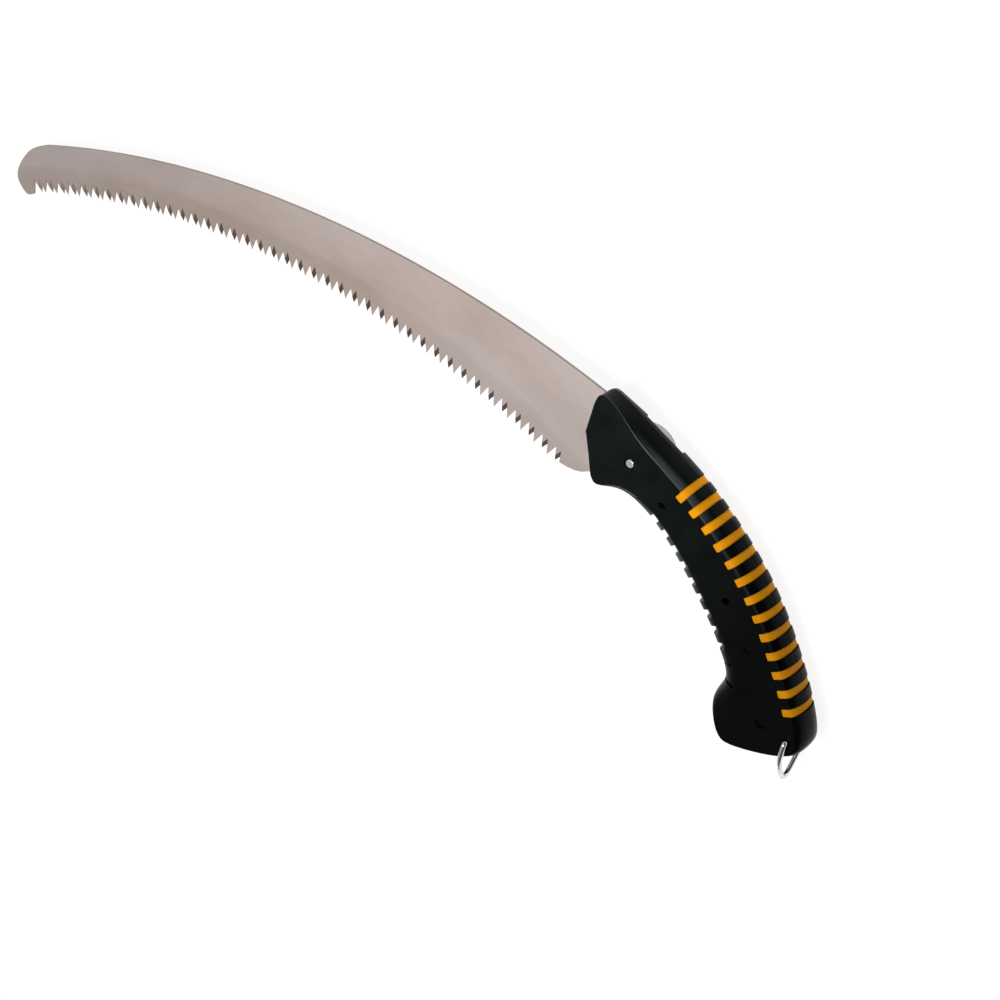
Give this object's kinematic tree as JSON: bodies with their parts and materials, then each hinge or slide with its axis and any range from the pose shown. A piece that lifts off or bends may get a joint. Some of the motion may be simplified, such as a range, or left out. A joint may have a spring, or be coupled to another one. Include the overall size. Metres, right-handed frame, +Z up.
{
  "type": "curved pruning saw",
  "caption": "Curved pull-stroke pruning saw: long toothed blade clamped by a knob and bolt in a curved two-shell handle with inlaid grip bands and a wire hanging bail.",
  "frame": {"origin": "centre of the bounding box's footprint, at the lowest point, with the saw lying on its right side", "axes": "+X from the blade's tip to the handle's butt, +Y towards the blade's back and away from its teeth, +Z up, out of the left handle shell; the clamping bolt and the bail pivot both lie along Z"},
  "size_m": [0.4744, 0.1514, 0.0239],
  "materials": {
    "blade_steel": "finely ground, satin",
    "black_plastic": "fine spark texture, semi-matte",
    "orange_rubber": "smooth matte",
    "knob_alloy": "satin",
    "fastener_steel": "plain zinc, satin",
    "pin_steel": "black oxide",
    "wire_steel": "polished"
  },
  "bodies": {
    "handle": {"blade": "blade_steel", "handle_left": "black_plastic", "handle_right": "black_plastic", "grip_band_01": "orange_rubber", "grip_band_02": "orange_rubber", "grip_band_03": "orange_rubber", "grip_band_04": "orange_rubber", "grip_band_05": "orange_rubber", "grip_band_06": "orange_rubber", "grip_band_07": "orange_rubber", "grip_band_08": "orange_rubber", "grip_band_09": "orange_rubber", "grip_band_10": "orange_rubber", "grip_band_11": "orange_rubber", "grip_band_12": "orange_rubber", "grip_band_13": "orange_rubber", "captive_nut": "fastener_steel", "tang_pin": "pin_steel", "handle_screw_front": "pin_steel", "handle_screw_rear": "pin_steel"},
    "washer": {"bolt_washer": "fastener_steel"},
    "knob": {"clamp_knob": "knob_alloy", "blade_bolt": "fastener_steel"},
    "bail": {"hanging_bail": "wire_steel"}
  },
  "joints": [
    {"name": "washer_slide", "type": "slide", "parent": "handle", "child": "washer", "axis": [0, 0, -1], "range_m": [0, 0.0056]},
    {"name": "knob_turn", "type": "hinge", "parent": "washer", "child": "knob", "pos_m": [0.13104, 0.03873, 0.01193], "axis": [0, 0, -1], "range_deg": [0, 2880]},
    {"name": "bail_swing", "type": "hinge", "parent": "handle", "child": "bail", "pos_m": [0.22994, -0.04997, 0.01193], "axis": [0, 0, 1], "range_deg": [-15, 105]}
  ],
  "couplings": [
    {"joint": "washer_slide", "follows": "knob_turn", "m_per_rad": 0.00011141}
  ]
}
